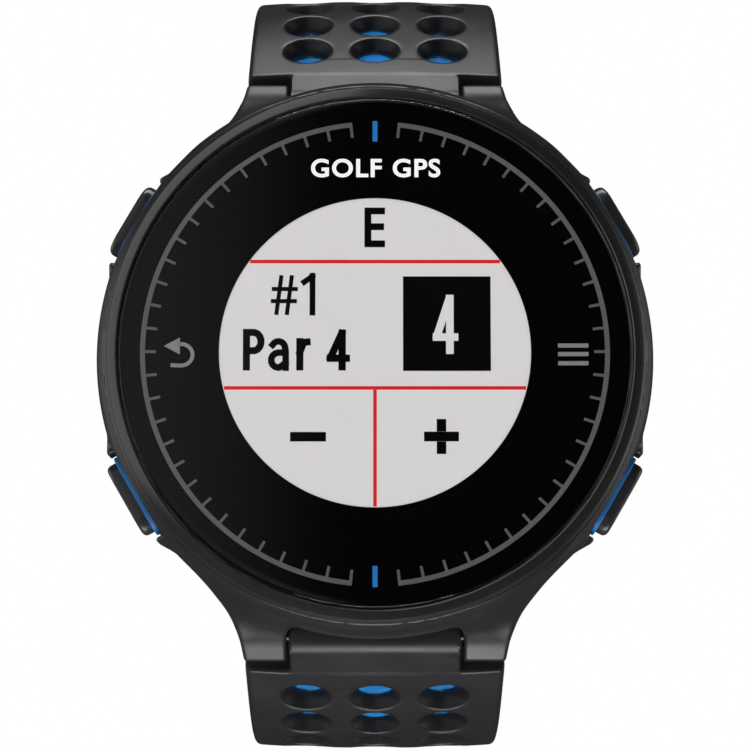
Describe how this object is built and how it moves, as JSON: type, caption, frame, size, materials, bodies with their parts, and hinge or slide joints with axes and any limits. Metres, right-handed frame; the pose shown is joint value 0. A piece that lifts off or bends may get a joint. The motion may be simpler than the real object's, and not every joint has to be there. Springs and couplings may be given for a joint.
{
  "type": "golf gps watch",
  "caption": "Round wrist watch with satellite positioning for golf: colour display under a flat lens, side buttons, perforated rubber strap with contrast lining and a pin buckle.",
  "frame": {"origin": "centre of the flat case back", "axes": "-Y out of the dial, +Y out of the case back towards the wrist, +Z towards 12 o'clock, +X towards 3 o'clock"},
  "size_m": [0.0458, 0.1101, 0.0709],
  "materials": {
    "case_polymer": "satin dark grey moulded polymer",
    "bezel": "satin dark grey metal, bright inner edge",
    "glass": "polished flat lens",
    "seal_rubber": "soft black",
    "lens_print": "printed black ring with pale marks",
    "sensor_film": "amber film",
    "display": "pale panel with colour picture",
    "light_guide": "white diffuser",
    "inner_polymer": "moulded black",
    "circuit_board": "solder-masked board",
    "shield_steel": "tinned sheet",
    "ceramic": "fired ceramic",
    "battery_cell": "foil pouch",
    "dark_steel": "dark coated steel",
    "gold_contact": "gold plated",
    "button_cap": "satin dark grey",
    "blue_polymer": "blue moulded ring",
    "strap_rubber": "fine matt moulded",
    "liner_rubber": "blue moulded lining",
    "bar_steel": "bright steel"
  },
  "bodies": {
    "case": {"back_cover": "case_polymer", "back_gasket": "seal_rubber", "back_screw_1": "dark_steel", "back_screw_2": "dark_steel", "back_screw_3": "dark_steel", "back_screw_4": "dark_steel", "backlight_guide": "light_guide", "battery": "battery_cell", "bezel_ring": "bezel", "button_seal_lower_left": "seal_rubber", "button_seal_lower_right": "seal_rubber", "button_seal_upper_left": "seal_rubber", "button_seal_upper_right": "seal_rubber", "button_switch_lower_left": "inner_polymer", "button_switch_lower_right": "inner_polymer", "button_switch_upper_left": "inner_polymer", "button_switch_upper_right": "inner_polymer", "button_trim_lower_left": "blue_polymer", "button_trim_lower_right": "blue_polymer", "button_trim_upper_left": "blue_polymer", "button_trim_upper_right": "blue_polymer", "charge_contact_1": "gold_contact", "charge_contact_2": "gold_contact", "charge_contact_3": "gold_contact", "charge_contact_4": "gold_contact", "display_holder": "inner_polymer", "display_module": "display", "front_lens": "glass", "gps_antenna": "ceramic", "lens_gasket": "seal_rubber", "lens_mask": "lens_print", "lower_lug_pin": "dark_steel", "lower_pin_screw": "dark_steel", "main_board": "circuit_board", "mid_case": "case_polymer", "processor_shield": "shield_steel", "touch_sensor": "sensor_film", "upper_lug_pin": "dark_steel", "upper_pin_screw": "dark_steel", "vibration_motor": "shield_steel"},
    "button_upper_right": {"button_cap_upper_right": "button_cap"},
    "button_upper_left": {"button_cap_upper_left": "button_cap"},
    "button_lower_left": {"button_cap_lower_left": "button_cap"},
    "button_lower_right": {"button_cap_lower_right": "button_cap"},
    "upper_strap": {"upper_strap_root": "strap_rubber", "upper_liner_root": "liner_rubber"},
    "upper_end": {"upper_strap_end": "strap_rubber", "upper_liner_end": "liner_rubber", "keeper_fixed": "strap_rubber"},
    "lower_strap": {"lower_strap_root": "strap_rubber", "lower_liner_root": "liner_rubber"},
    "lower_tail": {"lower_strap_tail": "strap_rubber", "lower_liner_tail": "liner_rubber"},
    "buckle": {"buckle_frame": "dark_steel", "buckle_bar": "bar_steel"},
    "tongue": {"buckle_tongue": "dark_steel"},
    "free_keeper": {"keeper_free": "strap_rubber"}
  },
  "joints": [
    {"name": "button_upper_right_press", "type": "slide", "parent": "case", "child": "button_upper_right", "axis": [-0.866, 0, -0.5], "range_m": [0, 0.00045], "stiffness_N_per_m": 500, "springref_m": -0.0006},
    {"name": "button_upper_left_press", "type": "slide", "parent": "case", "child": "button_upper_left", "axis": [0.866, 0, -0.5], "range_m": [0, 0.00045], "stiffness_N_per_m": 500, "springref_m": -0.0006},
    {"name": "button_lower_left_press", "type": "slide", "parent": "case", "child": "button_lower_left", "axis": [0.866, 0, 0.5], "range_m": [0, 0.00045], "stiffness_N_per_m": 500, "springref_m": -0.0006},
    {"name": "button_lower_right_press", "type": "slide", "parent": "case", "child": "button_lower_right", "axis": [-0.866, 0, 0.5], "range_m": [0, 0.00045], "stiffness_N_per_m": 500, "springref_m": -0.0006},
    {"name": "upper_strap_swing", "type": "hinge", "parent": "case", "child": "upper_strap", "pos_m": [0, -0.00228, 0.02225], "axis": [1, 0, 0], "range_deg": [-4, 15]},
    {"name": "upper_strap_flex", "type": "hinge", "parent": "upper_strap", "child": "upper_end", "pos_m": [0, 0.0281, 0.03578], "axis": [1, 0, 0], "range_deg": [-15, 25], "stiffness_Nm_per_rad": 0.3},
    {"name": "lower_strap_swing", "type": "hinge", "parent": "case", "child": "lower_strap", "pos_m": [0, -0.00228, -0.02225], "axis": [1, 0, 0], "range_deg": [-15, 4]},
    {"name": "lower_strap_flex", "type": "hinge", "parent": "lower_strap", "child": "lower_tail", "pos_m": [0, 0.04464, -0.02226], "axis": [1, 0, 0], "range_deg": [-25, 15], "stiffness_Nm_per_rad": 0.3},
    {"name": "buckle_turn", "type": "hinge", "parent": "upper_end", "child": "buckle", "pos_m": [0, 0.0626, 0.02993], "axis": [1, 0, 0], "range_deg": [-35, 30]},
    {"name": "tongue_lift", "type": "hinge", "parent": "buckle", "child": "tongue", "pos_m": [0, 0.0626, 0.02993], "axis": [1, 0, 0], "range_deg": [0, 80]},
    {"name": "keeper_slide", "type": "slide", "parent": "upper_end", "child": "free_keeper", "axis": [0, 0.9856, -0.1693], "range_m": [-0.005, 0.0055]}
  ]
}
